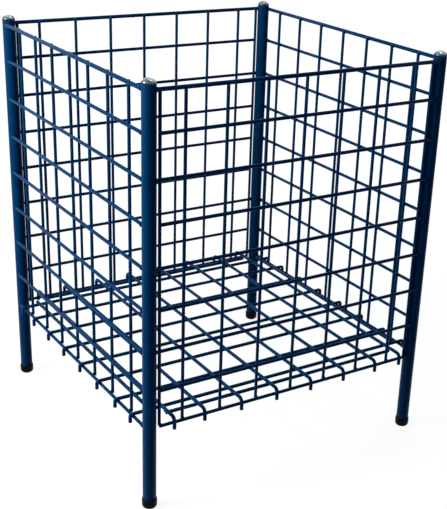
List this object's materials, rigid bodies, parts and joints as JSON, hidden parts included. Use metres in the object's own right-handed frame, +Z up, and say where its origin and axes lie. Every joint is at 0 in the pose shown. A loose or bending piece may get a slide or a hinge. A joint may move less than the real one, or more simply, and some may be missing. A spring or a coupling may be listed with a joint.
{
  "type": "wire dump bin",
  "caption": "Square open-topped wire bin on tube legs, with welded wire sides and a loose hooked wire floor, for loose goods on a shop floor.",
  "frame": {"origin": "on the ground, midway between the four posts", "axes": "+X along the front from the left post to the right post, +Y from front to back, +Z up"},
  "size_m": [0.6414, 0.6414, 0.7935],
  "materials": {
    "blue_paint": "dark blue powder coat, semi-gloss with a fine orange-peel",
    "bright_cap": "bright plated steel",
    "black_foot": "moulded black plastic, slightly glossy"
  },
  "bodies": {
    "frame": {"front_left_post": "blue_paint", "front_left_cap": "bright_cap", "front_left_foot": "black_foot", "front_right_post": "blue_paint", "front_right_cap": "bright_cap", "front_right_foot": "black_foot", "back_right_post": "blue_paint", "back_right_cap": "bright_cap", "back_right_foot": "black_foot", "back_left_post": "blue_paint", "back_left_cap": "bright_cap", "back_left_foot": "black_foot", "front_rim_and_uprights": "blue_paint", "front_cross_wire_1": "blue_paint", "front_cross_wire_2": "blue_paint", "front_cross_wire_3": "blue_paint", "front_cross_wire_4": "blue_paint", "front_cross_wire_5": "blue_paint", "front_cross_wire_6": "blue_paint", "front_cross_wire_7": "blue_paint", "front_bottom_wire": "blue_paint", "right_rim_and_uprights": "blue_paint", "right_cross_wire_1": "blue_paint", "right_cross_wire_2": "blue_paint", "right_cross_wire_3": "blue_paint", "right_cross_wire_4": "blue_paint", "right_cross_wire_5": "blue_paint", "right_cross_wire_6": "blue_paint", "right_cross_wire_7": "blue_paint", "right_bottom_wire": "blue_paint", "back_rim_and_uprights": "blue_paint", "back_cross_wire_1": "blue_paint", "back_cross_wire_2": "blue_paint", "back_cross_wire_3": "blue_paint", "back_cross_wire_4": "blue_paint", "back_cross_wire_5": "blue_paint", "back_cross_wire_6": "blue_paint", "back_cross_wire_7": "blue_paint", "back_bottom_wire": "blue_paint", "left_rim_and_uprights": "blue_paint", "left_cross_wire_1": "blue_paint", "left_cross_wire_2": "blue_paint", "left_cross_wire_3": "blue_paint", "left_cross_wire_4": "blue_paint", "left_cross_wire_5": "blue_paint", "left_cross_wire_6": "blue_paint", "left_cross_wire_7": "blue_paint", "left_bottom_wire": "blue_paint"},
    "floor": {"floor_long_wires": "blue_paint", "floor_cross_wire_1": "blue_paint", "floor_cross_wire_2": "blue_paint", "floor_cross_wire_3": "blue_paint", "floor_cross_wire_4": "blue_paint", "floor_cross_wire_5": "blue_paint", "floor_cross_wire_6": "blue_paint", "floor_cross_wire_7": "blue_paint", "floor_cross_wire_8": "blue_paint", "floor_left_edge_wire": "blue_paint", "floor_right_edge_wire": "blue_paint"}
  },
  "joints": [
    {"name": "floor_lift", "type": "slide", "parent": "frame", "child": "floor", "axis": [0, 0, 1], "range_m": [0, 0.049]}
  ]
}
